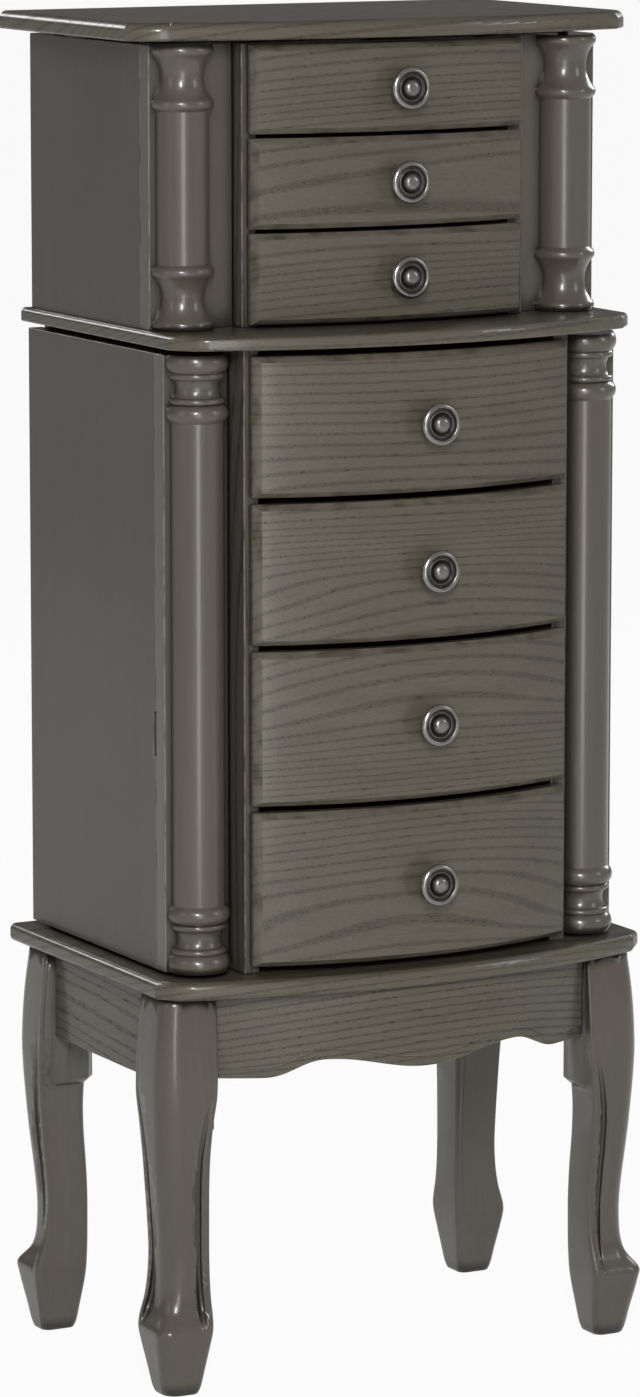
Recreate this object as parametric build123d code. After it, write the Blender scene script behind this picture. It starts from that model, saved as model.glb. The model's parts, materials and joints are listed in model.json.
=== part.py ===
from build123d import *
import os

# Stacked heights of the armoire, floor to top
LEG_HEIGHT = 302.0
BASE_THICK = 14.0
LOWER_CASE_HEIGHT = 465.0
WAIST_THICK = 10.5
UPPER_CASE_HEIGHT = 211.0
LID_THICK = 13.5

# Half width of the lower case, and how far the other pieces stand out or in from it
LOWER_HALF = 190.5
BASE_OVERHANG = 16.5
WAIST_OVERHANG = 3.0
UPPER_STEP_IN = 3.0
LID_OVERHANG = 22.5
LOWER_COLUMN_ZONE = 54.0
UPPER_COLUMN_ZONE = 69.2

# Depths, measured forward from the back edge of the boards
CASE_BACK = 6.0
LOWER_FRONT_DEPTH = 234.0
UPPER_FRONT_DEPTH = 206.0
LOWER_FACE_END = 268.0
UPPER_FACE_END = 230.0
LOWER_BOW = 24.0
UPPER_BOW = 15.5
BOARD_OVERHANG = 8.5

# Board and panel thicknesses
PANEL_THICK = 12.0
STILE_THICK = 14.0
BACK_THICK = 9.0
APRON_THICK = 16.0
DECK_THICK = 4.0
RAIL_THICK = 10.0

# Gaps between pieces
DOOR_GAP = 1.5
DOOR_TOP_GAP = 4.5
DOOR_BOTTOM_GAP = 2.6
JOINT_GAP = 1.0
LID_GAP = 3.5
SLIDE_GAP = 0.3
FRONT_SHADOW = 1.0

# Clipped front corners of the three boards
CLIP_WIDTH = 13.0
CLIP_SIDE = 15.0
CLIP_FRONT = 30.5
LID_CLIP_SIDE = 6.0
LID_CLIP_FRONT = 20.0
LID_EDGE = 6.5
LID_UNDER_EDGE = 2.0
WAIST_EDGE = 4.0
WAIST_UNDER_EDGE = 1.5
BASE_EDGE = 5.0

# Drawer fronts, from the bottom up, as shares of the room between the boards
LOWER_SHARES = [115.0, 114.5, 104.0, 103.5]
UPPER_SHARES = [67.0, 66.5, 65.0]
LOWER_FRONT_GAP = 5.0
UPPER_FRONT_GAP = 3.2
LOWER_STACK_FOOT = 6.4
LOWER_STACK_HEAD = 6.2
UPPER_STACK_FOOT = 2.0
UPPER_STACK_HEAD = 4.4
FRONT_REVEAL = 4.7
FRONT_EDGE = 10.0
FRONT_MIDDLE = 14.0
BEVEL_WIDE = 6.0
BEVEL_DEEP = 4.2

# Drawer boxes and runners
BOX_SIDE = 9.0
BOX_BACK = 9.0
BOX_BOTTOM = 4.0
BOX_BOTTOM_RISE = 3.0
BOX_SIDE_GAP = 1.0
BOX_REAR_GAP = 4.0
BOX_TOP_GAP = 8.0
RUNNER_RISE = 2.0
RUNNER_HEIGHT = 6.0
RUNNER_WIDTH = 10.0

# Knobs
KNOB_RADIUS = 15.9
KNOB_REACH = 20.0
SCREW_RADIUS = 2.0
SCREW_HEAD = 4.0
SCREW_HEAD_THICK = 2.0
SCREW_CLEAR = 0.2

# Half-round columns
BEAD_SHARE = 0.465
SHAFT_SHARE = 0.86
NECK_SHARE = 0.70
CAPITAL_HEIGHT = 50.0
UPPER_CAPITAL_HEIGHT = 48.0

# Cabriole legs
LEG_SIDE_INSET = 22.3
LEG_FRONT_REACH = 4.3
LEG_BACK_DEPTH = 25.6
LEG_BLOCK_INNER = 26.0
LEG_BLOCK_OUTER = 11.3
LEG_BLOCK_DROP = 107.0
LEG_BLOCK_CHAMFER = 5.0
LEG_BLOCK_CORNER = 8.0
SIDE_APRON_OUT = 9.0

# Aprons
APRON_DROP = 64.0
SIDE_APRON_DROP = 67.0
APRON_END_REACH = 11.0
APRON_BOW = 43.5
SCALLOP_PEAK = 12.6
SCALLOP_MIDDLE = 1.8
SCALLOP_PEAK_AT = 79.5
SCALLOP_END_AT = 125.5
BEAD_BAND = 8.0
BEAD_STEP = 2.0

# Lid tray, mirror and cushion
TRAY_DEPTH = 25.0
MIRROR_HALF = 150.0
MIRROR_BACK = 40.0
MIRROR_FRONT = 185.0
MIRROR_THICK = 2.5
MIRROR_CLEAR = 0.3
BUMPER_RADIUS = 4.0
BUMPER_BACK = 45.0
BUMPER_FRONT = 170.0
CUSHION_ROLLS = 6
CUSHION_PITCH = 15.5
CUSHION_ROLL_RADIUS = 8.2
CUSHION_PAD = 9.0
CUSHION_MARGIN = 6.0
CUSHION_CORNER = 5.0

# Hinges
KNUCKLE_RADIUS = 2.8
PIN_RADIUS = 1.4
PIN_CLEAR = 0.05
KNUCKLE_GAP = 0.4
LEAF_THICK = 1.0
LEAF_START = 3.3
LEAF_REACH = 16.0
DOOR_FLAP_REACH = 11.0
DOOR_HINGE_LENGTH = 54.0
LID_HINGE_LENGTH = 42.0
LID_HINGE_AT = 120.0
DOOR_HINGE_SHARE = 0.14

# Door fittings
SLOT_HEIGHT = 34.0
SLOT_DEEP = 4.0
SLOT_SHARE = 0.385
HOOK_COUNT = 5
HOOK_PITCH = 32.0
HOOK_DROP = 42.0
HOOK_REACH = 20.0
HOOK_RADIUS = 1.6
HOOK_FLANGE = 4.5
HOOK_BALL = 3.2
CATCH_SIZE = 10.0
CATCH_HEIGHT = 26.0

# Levels and reference planes that follow from the sizes above
BASE_HALF = LOWER_HALF + BASE_OVERHANG
WAIST_HALF = LOWER_HALF + WAIST_OVERHANG
UPPER_HALF = LOWER_HALF - UPPER_STEP_IN
LID_HALF = UPPER_HALF + LID_OVERHANG
LOWER_BAY_HALF = LOWER_HALF - LOWER_COLUMN_ZONE
UPPER_BAY_HALF = UPPER_HALF - UPPER_COLUMN_ZONE
BASE_TOP = LEG_HEIGHT + BASE_THICK
WAIST_BOTTOM = BASE_TOP + LOWER_CASE_HEIGHT
WAIST_TOP = WAIST_BOTTOM + WAIST_THICK
LID_BOTTOM = WAIST_TOP + UPPER_CASE_HEIGHT
UPPER_TOP = LID_BOTTOM - LID_GAP
DECK_BOTTOM = UPPER_TOP - TRAY_DEPTH - DECK_THICK
LOWER_FACE_MID = LOWER_FACE_END + LOWER_BOW
UPPER_FACE_MID = UPPER_FACE_END + UPPER_BOW
BACK_Y = (LOWER_FACE_MID + KNOB_REACH) / 2
PANEL_FRONT = CASE_BACK + BACK_THICK
COLUMN_INSET = (LOWER_HALF - LOWER_BAY_HALF - DOOR_GAP) / 2
BEAD_RADIUS = 2 * COLUMN_INSET * BEAD_SHARE
DOOR_BOTTOM = BASE_TOP + DOOR_BOTTOM_GAP
DOOR_TOP = WAIST_BOTTOM - DOOR_TOP_GAP
LEG_X = BASE_HALF - LEG_SIDE_INSET
LEG_FRONT_DEPTH = LOWER_FRONT_DEPTH + LEG_FRONT_REACH

pieces = {}


def y_at(depth):
    return BACK_Y - depth


def slab(x0, x1, d0, d1, z0, z1):
    size = Box(abs(x1 - x0), abs(d1 - d0), z1 - z0)
    return Pos((x0 + x1) / 2, y_at((d0 + d1) / 2), (z0 + z1) / 2) * size


def both_sides(shape):
    return [shape, mirror(shape, about=Plane.YZ)]


def bow_face(half, back, end, middle):
    a, b = (-half, y_at(back)), (-half, y_at(end))
    c, d = (half, y_at(end)), (half, y_at(back))
    arc = ThreePointArc(b, (0, y_at(middle)), c)
    return make_face([Line(a, b), arc, Line(c, d), Line(d, a)])


# Boards with a bowed front and clipped front corners
def board(half, side, front, middle, z0, thick, top_edge, under_edge):
    inner = half - CLIP_WIDTH
    a, b, c = (-half, y_at(0)), (-half, y_at(side)), (-inner, y_at(front))
    d, e, f = (inner, y_at(front)), (half, y_at(side)), (half, y_at(0))
    arc = ThreePointArc(c, (0, y_at(middle)), d)
    face = make_face([Line(a, b), Line(b, c), arc, Line(d, e), Line(e, f), Line(f, a)])
    solid = Pos(0, 0, z0) * extrude(face, amount=thick, dir=(0, 0, 1))
    front_edges = solid.edges().filter_by(lambda e: e.center().Y < y_at(JOINT_GAP))
    solid = fillet(front_edges.group_by(Axis.Z)[-1], top_edge)
    front_edges = solid.edges().filter_by(lambda e: e.center().Y < y_at(JOINT_GAP))
    return fillet(front_edges.group_by(Axis.Z)[0], under_edge)


clip_side = LOWER_FRONT_DEPTH + CLIP_SIDE
clip_front = LOWER_FRONT_DEPTH + CLIP_FRONT
lower_mid = LOWER_FACE_MID + BOARD_OVERHANG
upper_mid = UPPER_FACE_MID + BOARD_OVERHANG
lid_side = UPPER_FRONT_DEPTH + LID_CLIP_SIDE
lid_front = UPPER_FRONT_DEPTH + LID_CLIP_FRONT
pieces["base_board"] = board(
    BASE_HALF, clip_side, clip_front, lower_mid, LEG_HEIGHT, BASE_THICK, BASE_EDGE, BASE_EDGE
)
pieces["waist_board"] = board(
    WAIST_HALF, clip_side, clip_front, lower_mid, WAIST_BOTTOM, WAIST_THICK, WAIST_EDGE, WAIST_UNDER_EDGE
)
lid = board(
    LID_HALF, lid_side, lid_front, upper_mid, LID_BOTTOM, LID_THICK, LID_EDGE, LID_UNDER_EDGE
)

# Mirror let into the underside of the lid
pocket = slab(
    -MIRROR_HALF - MIRROR_CLEAR,
    MIRROR_HALF + MIRROR_CLEAR,
    MIRROR_BACK - MIRROR_CLEAR,
    MIRROR_FRONT + MIRROR_CLEAR,
    LID_BOTTOM,
    LID_BOTTOM + MIRROR_THICK,
)
pieces["lid_board"] = lid - pocket
pieces["lid_mirror"] = slab(
    -MIRROR_HALF, MIRROR_HALF, MIRROR_BACK, MIRROR_FRONT, LID_BOTTOM, LID_BOTTOM + MIRROR_THICK
)


# Cabriole leg sections: share of height, inner side, wing side, shin side,
# shin corner, groove place from the inner side, groove depth, side corner, inner corner
LEG_SECTIONS = [
    (0.000, 13.0, 14.0, 14.0, 11.0, 9.0, 0.0, 6.5, 6.0),
    (0.018, 14.8, 15.8, 15.8, 11.5, 9.0, 0.0, 6.5, 6.0),
    (0.060, 16.8, 18.2, 18.2, 12.0, 9.0, 0.0, 6.5, 6.0),
    (0.120, 19.2, 21.8, 21.8, 12.0, 9.0, 0.0, 6.0, 5.0),
    (0.155, 20.4, 23.4, 23.4, 11.5, 9.0, 0.0, 5.0, 5.0),
    (0.172, 20.7, 23.4, 23.4, 11.5, 9.0, 0.1, 4.5, 5.0),
    (0.190, 20.9, 22.2, 19.6, 12.0, 9.0, 0.9, 4.0, 5.0),
    (0.207, 21.1, 20.4, 16.4, 13.0, 9.0, 1.7, 3.5, 5.0),
    (0.240, 21.3, 17.2, 13.8, 14.0, 9.0, 2.2, 3.0, 5.0),
    (0.290, 21.4, 14.4, 12.9, 15.0, 9.0, 2.4, 2.0, 5.0),
    (0.350, 21.4, 13.2, 13.2, 16.0, 9.0, 2.4, 1.5, 5.0),
    (0.424, 20.8, 14.4, 14.8, 16.0, 9.0, 2.4, 1.5, 5.0),
    (0.523, 19.7, 17.0, 17.6, 16.5, 9.0, 2.4, 1.5, 6.0),
    (0.600, 19.8, 18.7, 19.4, 17.0, 8.6, 2.0, 1.5, 7.0),
    (0.680, 21.5, 20.3, 20.8, 17.0, 6.6, 1.3, 1.5, 8.0),
    (0.758, 24.5, 21.4, 21.4, 17.0, 4.8, 0.3, 1.5, 9.0),
    (0.877, 25.3, 19.4, 19.4, 15.0, 4.8, 0.0, 1.5, 9.0),
    (1.000, 25.5, 15.6, 15.6, 14.0, 4.8, 0.0, 1.5, 9.0),
]
LEG_STEPS = 48
GROOVE_HALF = 2.0
GROOVE_LEAST = 0.06


def leg_section(height, inner, wing, shin, shin_r, groove, depth, side_r, inner_r):
    # Half an outline, each step a point and, where a round starts there, the middle of that round
    swing = 1 - 0.5 ** 0.5
    line, corner = groove - inner, inner_r - inner
    bottom = min(wing, shin) - depth - GROOVE_LEAST
    half = [
        ((corner, -inner), None),
        ((wing - side_r, -inner), (wing - side_r * swing, side_r * swing - inner)),
        ((wing, side_r - inner), None),
        ((wing, line - GROOVE_HALF), (bottom, line)),
        ((shin, line + GROOVE_HALF), None),
        ((shin, shin - shin_r), (shin - shin_r * swing,) * 2),
    ]
    # The other half is its image in the leg's diagonal, closed by the inner corner
    points = [p for p, m in half]
    mids = [m for p, m in half]
    points += [p[::-1] for p in reversed(points)]
    mids += [m and m[::-1] for m in reversed(mids[:-1])] + [(inner_r * swing - inner,) * 2]
    edges = []
    for p, m, q in zip(points, mids, points[1:] + points[:1]):
        edges.append(ThreePointArc(p, m, q) if m else Line(p, q))
    return Pos(0, 0, height) * make_face(edges)


def even_rows(table, steps):
    # Evenly spaced rows on a smooth curve through the rows of a table
    def slope(k):
        low, high = table[max(k - 1, 0)], table[min(k + 1, len(table) - 1)]
        return [(b - a) / (high[0] - low[0]) for a, b in zip(low, high)]

    rows = []
    for i in range(steps + 1):
        share = i / steps
        j = max(k for k in range(len(table) - 1) if table[k][0] <= share)
        low, high = table[j], table[j + 1]
        span = high[0] - low[0]
        t = (share - low[0]) / span
        rows.append(
            [
                a * (1 + 2 * t) * (1 - t) ** 2 + b * t * t * (3 - 2 * t)
                + span * (u * t * (1 - t) ** 2 + v * t * t * (t - 1))
                for a, b, u, v in zip(low, high, slope(j), slope(j + 1))
            ]
        )
    return rows


def make_leg():
    body = loft([leg_section(s * LEG_HEIGHT, *row) for s, *row in even_rows(LEG_SECTIONS, LEG_STEPS)])
    side = LEG_BLOCK_INNER + LEG_BLOCK_OUTER
    middle = (LEG_BLOCK_OUTER - LEG_BLOCK_INNER) / 2
    block = Pos(middle, middle, LEG_HEIGHT - LEG_BLOCK_DROP / 2) * Box(side, side, LEG_BLOCK_DROP)
    inner_edge = block.edges().filter_by(Axis.Z).sort_by(lambda e: e.center().X + e.center().Y)[0]
    block = chamfer(inner_edge, LEG_BLOCK_CORNER)
    block = chamfer(block.edges().group_by(Axis.Z)[0], LEG_BLOCK_CHAMFER)
    return body + block


leg = make_leg()
back_right = Pos(LEG_X, y_at(LEG_BACK_DEPTH), 0) * leg
front_right = Pos(LEG_X, y_at(LEG_FRONT_DEPTH), 0) * mirror(leg, about=Plane.XZ)
pieces["leg_back_right"], pieces["leg_back_left"] = both_sides(back_right)
pieces["leg_front_right"], pieces["leg_front_left"] = both_sides(front_right)


# Front apron: bowed in plan, scalloped along its lower edge, with a stepped border band
APRON_HALF = LEG_X - LEG_BLOCK_INNER
APRON_BOTTOM = LEG_HEIGHT - APRON_DROP


def scallop_solid(lift):
    z0 = APRON_BOTTOM + lift
    a, b = (-APRON_HALF, z0), (-SCALLOP_END_AT, z0)
    left = (-SCALLOP_PEAK_AT, z0 + SCALLOP_PEAK)
    mid = (0, z0 + SCALLOP_MIDDLE)
    right, c = (SCALLOP_PEAK_AT, z0 + SCALLOP_PEAK), (SCALLOP_END_AT, z0)
    d, e, f = (APRON_HALF, z0), (APRON_HALF, LEG_HEIGHT), (-APRON_HALF, LEG_HEIGHT)
    spans = ((b, left), (left, mid), (mid, right), (right, c))
    waves = [Spline(p, q, tangents=[(1, 0), (1, 0)]) for p, q in spans]
    edges = [Line(a, b), *waves, Line(c, d), Line(d, e), Line(e, f), Line(f, a)]
    face = Plane.XZ * make_face(edges)
    return Pos(0, BACK_Y, 0) * extrude(face, amount=2 * BACK_Y, dir=(0, -1, 0))


def bowed_strip(front_cut):
    end = LEG_FRONT_DEPTH + APRON_END_REACH - front_cut
    back = LEG_FRONT_DEPTH + APRON_END_REACH - APRON_THICK
    outer = bow_face(APRON_HALF, back, end, end + APRON_BOW)
    hollow = bow_face(APRON_HALF, 0, back, back + APRON_BOW)
    return Pos(0, 0, APRON_BOTTOM) * extrude(outer - hollow, amount=APRON_DROP, dir=(0, 0, 1))


pieces["front_apron"] = bowed_strip(BEAD_STEP) & scallop_solid(0)
pieces["front_apron"] += bowed_strip(0) & scallop_solid(BEAD_BAND)

# Straight aprons at the sides and back
side_bottom = LEG_HEIGHT - SIDE_APRON_DROP
side_outer = LEG_X + SIDE_APRON_OUT
side_inner = side_outer - APRON_THICK
side_back = LEG_BACK_DEPTH + LEG_BLOCK_INNER
side_front = LEG_FRONT_DEPTH - LEG_BLOCK_INNER
side_apron = slab(side_inner, side_outer, side_back, side_front, side_bottom, LEG_HEIGHT)
pieces["side_apron_right"], pieces["side_apron_left"] = both_sides(side_apron)
back_outer = LEG_BACK_DEPTH - SIDE_APRON_OUT
pieces["back_apron"] = slab(
    -APRON_HALF, APRON_HALF, back_outer, back_outer + APRON_THICK, side_bottom, LEG_HEIGHT
)

# Partitions, back panels and runners of the two cases
LOWER_PARTITION_FRONT = LOWER_FACE_END - FRONT_EDGE - FRONT_SHADOW
UPPER_PARTITION_FRONT = UPPER_FACE_END - FRONT_EDGE - FRONT_SHADOW
LOWER_BAY_INNER = LOWER_BAY_HALF - PANEL_THICK
UPPER_BAY_INNER = UPPER_BAY_HALF - PANEL_THICK
UPPER_SIDE_INNER = UPPER_HALF - PANEL_THICK
DOOR_INNER = LOWER_HALF - PANEL_THICK
pieces["lower_partitions"] = both_sides(
    slab(LOWER_BAY_INNER, LOWER_BAY_HALF, PANEL_FRONT, LOWER_PARTITION_FRONT, BASE_TOP, WAIST_BOTTOM)
)
pieces["upper_partitions"] = both_sides(
    slab(UPPER_BAY_INNER, UPPER_BAY_HALF, PANEL_FRONT, UPPER_PARTITION_FRONT, WAIST_TOP, UPPER_TOP)
)
back_half = DOOR_INNER - DOOR_GAP
pieces["lower_back_panel"] = slab(-back_half, back_half, CASE_BACK, PANEL_FRONT, BASE_TOP, WAIST_BOTTOM)
pieces["upper_back_panel"] = slab(
    -UPPER_SIDE_INNER, UPPER_SIDE_INNER, CASE_BACK, PANEL_FRONT, WAIST_TOP, UPPER_TOP
)

# Upper case sides and the boards behind its columns
stile_back = UPPER_FRONT_DEPTH - STILE_THICK
pieces["upper_sides"] = both_sides(
    slab(UPPER_SIDE_INNER, UPPER_HALF, CASE_BACK, stile_back, WAIST_TOP, UPPER_TOP)
)
pieces["upper_stiles"] = both_sides(
    slab(UPPER_BAY_HALF + JOINT_GAP, UPPER_HALF, stile_back, UPPER_FRONT_DEPTH, WAIST_TOP, UPPER_TOP)
)


# Half-round columns: each step is height share, middle radius share or none, end radius share
LOWER_CAPITAL = [
    (0.02, None, 0.90),
    (0.25, 1.00, 0.84),
    (0.10, 0.90, 0.78),
    (0.26, NECK_SHARE, 0.78),
    (0.10, 0.90, 0.86),
    (0.27, 1.00, 0.92),
]
UPPER_CAPITAL = [
    (0.03, None, 0.92),
    (0.16, 1.00, 0.93),
    (0.65, NECK_SHARE, 0.93),
    (0.16, 1.00, 0.92),
]


def turning_edges(steps, height, start, up):
    edges, here = [], start
    for share, middle, end in steps:
        z = here[1] + up * share * height
        nxt = (BEAD_RADIUS * end, z)
        if middle is None:
            edges.append(Line(here, nxt))
        else:
            edges.append(ThreePointArc(here, (BEAD_RADIUS * middle, (here[1] + z) / 2), nxt))
        here = nxt
    return edges, here


def half_column(x, front, z0, z1, capital, height):
    shaft = BEAD_RADIUS * SHAFT_SHARE
    low, high = (shaft, z0 + height), (shaft, z1 - height)
    base, base_end = turning_edges(capital, height, low, -1)
    cap, cap_end = turning_edges(capital, height, high, 1)
    edges = [Line(low, high), *base, *cap]
    edges += [Line(cap_end, (0, z1)), Line((0, z1), (0, z0)), Line((0, z0), base_end)]
    profile = Plane.XZ * make_face(edges)
    column = revolve(profile, axis=Axis.Z, revolution_arc=-180)
    return Pos(x, y_at(front), 0) * column


upper_column_x = UPPER_HALF - COLUMN_INSET
upper_column = half_column(
    upper_column_x, UPPER_FRONT_DEPTH, WAIST_TOP, UPPER_TOP, UPPER_CAPITAL, UPPER_CAPITAL_HEIGHT
)
pieces["upper_columns"] = both_sides(upper_column)

# Lower side doors: side panel with finger slot, front board and column
door_stile_back = LOWER_FRONT_DEPTH - STILE_THICK
slot_z = DOOR_BOTTOM + SLOT_SHARE * (DOOR_TOP - DOOR_BOTTOM)
slot = slab(
    DOOR_INNER, LOWER_HALF, door_stile_back - SLOT_DEEP, door_stile_back,
    slot_z - SLOT_HEIGHT / 2, slot_z + SLOT_HEIGHT / 2,
)
door_panel = slab(DOOR_INNER, LOWER_HALF, CASE_BACK, door_stile_back, DOOR_BOTTOM, DOOR_TOP) - slot
door_stile = slab(
    LOWER_BAY_HALF + DOOR_GAP, LOWER_HALF, door_stile_back, LOWER_FRONT_DEPTH, DOOR_BOTTOM, DOOR_TOP
)
door_column = half_column(
    LOWER_HALF - COLUMN_INSET, LOWER_FRONT_DEPTH, DOOR_BOTTOM, DOOR_TOP, LOWER_CAPITAL, CAPITAL_HEIGHT
)


# Necklace hooks: turned pegs with a flange and a ball end
def hook():
    ball_start = HOOK_REACH - 2 * HOOK_BALL
    tip = (HOOK_RADIUS, HOOK_REACH)
    edges = [
        Line((0, 0), (HOOK_FLANGE, 0)),
        ThreePointArc((HOOK_FLANGE, 0), (HOOK_RADIUS * 1.6, HOOK_RADIUS), (HOOK_RADIUS, 3 * HOOK_RADIUS)),
        Line((HOOK_RADIUS, 3 * HOOK_RADIUS), (HOOK_RADIUS, ball_start)),
        ThreePointArc((HOOK_RADIUS, ball_start), (HOOK_BALL, HOOK_REACH - HOOK_BALL), tip),
        Line(tip, (0, HOOK_REACH)),
        Line((0, HOOK_REACH), (0, 0)),
    ]
    return revolve(Plane.XZ * make_face(edges), axis=Axis.Z)


peg = Rot(0, -90, 0) * hook()
hook_z = DOOR_TOP - HOOK_DROP
hook_mid = (PANEL_FRONT + door_stile_back) / 2
hook_first = hook_mid - HOOK_PITCH * (HOOK_COUNT - 1) / 2
door_hooks = [Pos(DOOR_INNER, y_at(hook_first + HOOK_PITCH * i), hook_z) * peg for i in range(HOOK_COUNT)]

# Door magnets on the partitions, behind the door front boards
catch_z = (DOOR_BOTTOM + DOOR_TOP) / 2
pieces["door_magnets"] = both_sides(
    slab(
        LOWER_BAY_HALF, LOWER_BAY_HALF + CATCH_SIZE,
        door_stile_back - SLIDE_GAP - CATCH_SIZE, door_stile_back - SLIDE_GAP,
        catch_z - CATCH_HEIGHT / 2, catch_z + CATCH_HEIGHT / 2,
    )
)


# Butt hinge along local Z: fixed leaf toward +X, flap given by its plate and link rectangles
def plate(x0, x1, y0, y1, z0, z1):
    return Pos((x0 + x1) / 2, (y0 + y1) / 2, (z0 + z1) / 2) * Box(x1 - x0, y1 - y0, z1 - z0)


def knuckle(radius, z0, z1):
    return Pos(0, 0, (z0 + z1) / 2) * Cylinder(radius, z1 - z0)


def butt_hinge(length, flap_plate, flap_link):
    end, third = length / 2, length / 6
    near, far = CASE_BACK / 2 - LEAF_THICK, CASE_BACK / 2
    fixed = plate(LEAF_START, LEAF_REACH, near, far, -end, end) + knuckle(PIN_RADIUS, -end, end)
    for z0, z1 in ((-end, -third - KNUCKLE_GAP), (third + KNUCKLE_GAP, end)):
        fixed += knuckle(KNUCKLE_RADIUS, z0, z1) + plate(0, LEAF_START, near, far, z0, z1)
    flap = plate(*flap_plate, -end, end) + plate(*flap_link, -third, third)
    flap += knuckle(KNUCKLE_RADIUS, -third, third)
    return fixed, flap - knuckle(PIN_RADIUS + PIN_CLEAR, -end, end)


leaf_near, leaf_far = CASE_BACK / 2 - LEAF_THICK, CASE_BACK / 2
fixed_leaf, door_flap = butt_hinge(
    DOOR_HINGE_LENGTH,
    (-DOOR_FLAP_REACH, -LEAF_START, leaf_near, leaf_far),
    (-LEAF_START, 0, leaf_near, leaf_far),
)
# The right door turns about the joint line between its panel and the back panel
door_axis_x = DOOR_INNER - DOOR_GAP / 2
door_axis_y = y_at(CASE_BACK / 2)
hinge_rise = DOOR_HINGE_SHARE * (DOOR_TOP - DOOR_BOTTOM)
hinge_planes = [
    Plane(origin=(-door_axis_x, door_axis_y, z), x_dir=(1, 0, 0), z_dir=(0, 0, -1))
    for z in (DOOR_BOTTOM + hinge_rise, DOOR_TOP - hinge_rise)
]
left_leaves = [p * fixed_leaf for p in hinge_planes]
left_flaps = [p * door_flap for p in hinge_planes]
pieces["door_hinge_leaves"] = left_leaves + [mirror(s, about=Plane.YZ) for s in left_leaves]
for side, flip in (("right", False), ("left", True)):
    turn = (lambda s: mirror(s, about=Plane.YZ)) if flip else (lambda s: s)
    pieces[f"door_{side}_panel"] = turn(door_panel)
    pieces[f"door_{side}_stile"] = turn(door_stile)
    pieces[f"door_{side}_column"] = turn(door_column)
    pieces[f"door_{side}_hooks"] = [turn(s) for s in door_hooks]
    pieces[f"door_{side}_hinge_flaps"] = [s if flip else mirror(s, about=Plane.YZ) for s in left_flaps]

# Lid hinges: leaf on the upper back panel, flap under the lid
lid_leaf, lid_flap = butt_hinge(
    LID_HINGE_LENGTH,
    (-LEAF_START, -LEAF_START + LEAF_THICK, LEAF_START, LEAF_REACH),
    (-LEAF_START, -LEAF_START + LEAF_THICK, 0, LEAF_START),
)
lid_axis_z = LID_BOTTOM - LEAF_START
lid_planes = [
    Plane(origin=(x, y_at(CASE_BACK / 2), lid_axis_z), x_dir=(0, 0, -1), z_dir=(-1, 0, 0))
    for x in (-LID_HINGE_AT, LID_HINGE_AT)
]
pieces["lid_hinge_leaves"] = [p * lid_leaf for p in lid_planes]
pieces["lid_hinge_flaps"] = [p * lid_flap for p in lid_planes]

# Tray under the lid: decks, rail, bumpers and ring cushion
rail_back = UPPER_PARTITION_FRONT - RAIL_THICK
deck_top = DECK_BOTTOM + DECK_THICK
side_deck = slab(UPPER_BAY_HALF, UPPER_SIDE_INNER, PANEL_FRONT, stile_back, DECK_BOTTOM, deck_top)
middle_deck = slab(-UPPER_BAY_INNER, UPPER_BAY_INNER, PANEL_FRONT, rail_back, DECK_BOTTOM, deck_top)
pieces["tray_decks"] = [middle_deck, *both_sides(side_deck)]
pieces["tray_rail"] = slab(
    -UPPER_BAY_INNER, UPPER_BAY_INNER, rail_back, UPPER_PARTITION_FRONT, DECK_BOTTOM, UPPER_TOP
)
bumper = Pos(0, 0, LID_GAP / 2) * Cylinder(BUMPER_RADIUS, LID_GAP)
bumper_x = UPPER_HALF - PANEL_THICK / 2
pieces["lid_bumpers"] = [
    Pos(x, y_at(d), UPPER_TOP) * bumper for x in (-bumper_x, bumper_x) for d in (BUMPER_BACK, BUMPER_FRONT)
]


def ring_cushion():
    long = UPPER_BAY_INNER - CUSHION_MARGIN
    deep = CUSHION_ROLLS * CUSHION_PITCH
    pad = Pos(0, 0, CUSHION_PAD / 2) * Box(2 * long, deep, CUSHION_PAD)
    pad = fillet(pad.edges().filter_by(Axis.Z), CUSHION_CORNER)
    straight = 2 * (long - CUSHION_ROLL_RADIUS)
    roll = Rot(0, 90, 0) * Cylinder(CUSHION_ROLL_RADIUS, straight)
    roll += [Pos(x, 0, 0) * Sphere(CUSHION_ROLL_RADIUS) for x in (-straight / 2, straight / 2)]
    for i in range(CUSHION_ROLLS):
        pad += Pos(0, (i + 0.5) * CUSHION_PITCH - deep / 2, CUSHION_PAD) * roll
    return pad


cushion_mid = PANEL_FRONT + CUSHION_MARGIN + CUSHION_ROLLS * CUSHION_PITCH / 2
pieces["ring_cushion"] = Pos(0, y_at(cushion_mid), deck_top) * ring_cushion()


# Knob: dished head with a rim, a ring and a ball on a waisted stem, drawn as radius and reach
def knob_solid():
    r, h = KNOB_RADIUS, KNOB_REACH
    strokes = [
        ((0.38, 0.12), (0.34, 0.28)),
        ((0.44, 0.52), (0.88, 0.66)),
        ((1.00, 0.78), (0.90, 0.90)),
        ((0.82, 0.91), (0.74, 0.80)),
        ((0.68, 0.77), (0.64, 0.80)),
        ((0.60, 0.84), (0.55, 0.78)),
        ((0.50, 0.72), (0.45, 0.76)),
        ((0.34, 0.94), (0.08, 1.00)),
    ]
    here = (0.46 * r, 0)
    edges = [Line((0, 0), here)]
    for middle, end in strokes:
        there = (end[0] * r, end[1] * h)
        edges.append(ThreePointArc(here, (middle[0] * r, middle[1] * h), there))
        here = there
    edges += [Line(here, (0, h)), Line((0, h), (0, 0))]
    return Rot(90, 0, 0) * revolve(Plane.XZ * make_face(edges), axis=Axis.Z)


knob = knob_solid()
screw_length = FRONT_MIDDLE + SLIDE_GAP
screw = Pos(0, 0, -screw_length / 2) * Cylinder(SCREW_RADIUS, screw_length)
screw += Pos(0, 0, -screw_length - SCREW_HEAD_THICK / 2) * Cylinder(SCREW_HEAD, SCREW_HEAD_THICK)
screw = Rot(90, 0, 0) * screw


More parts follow.
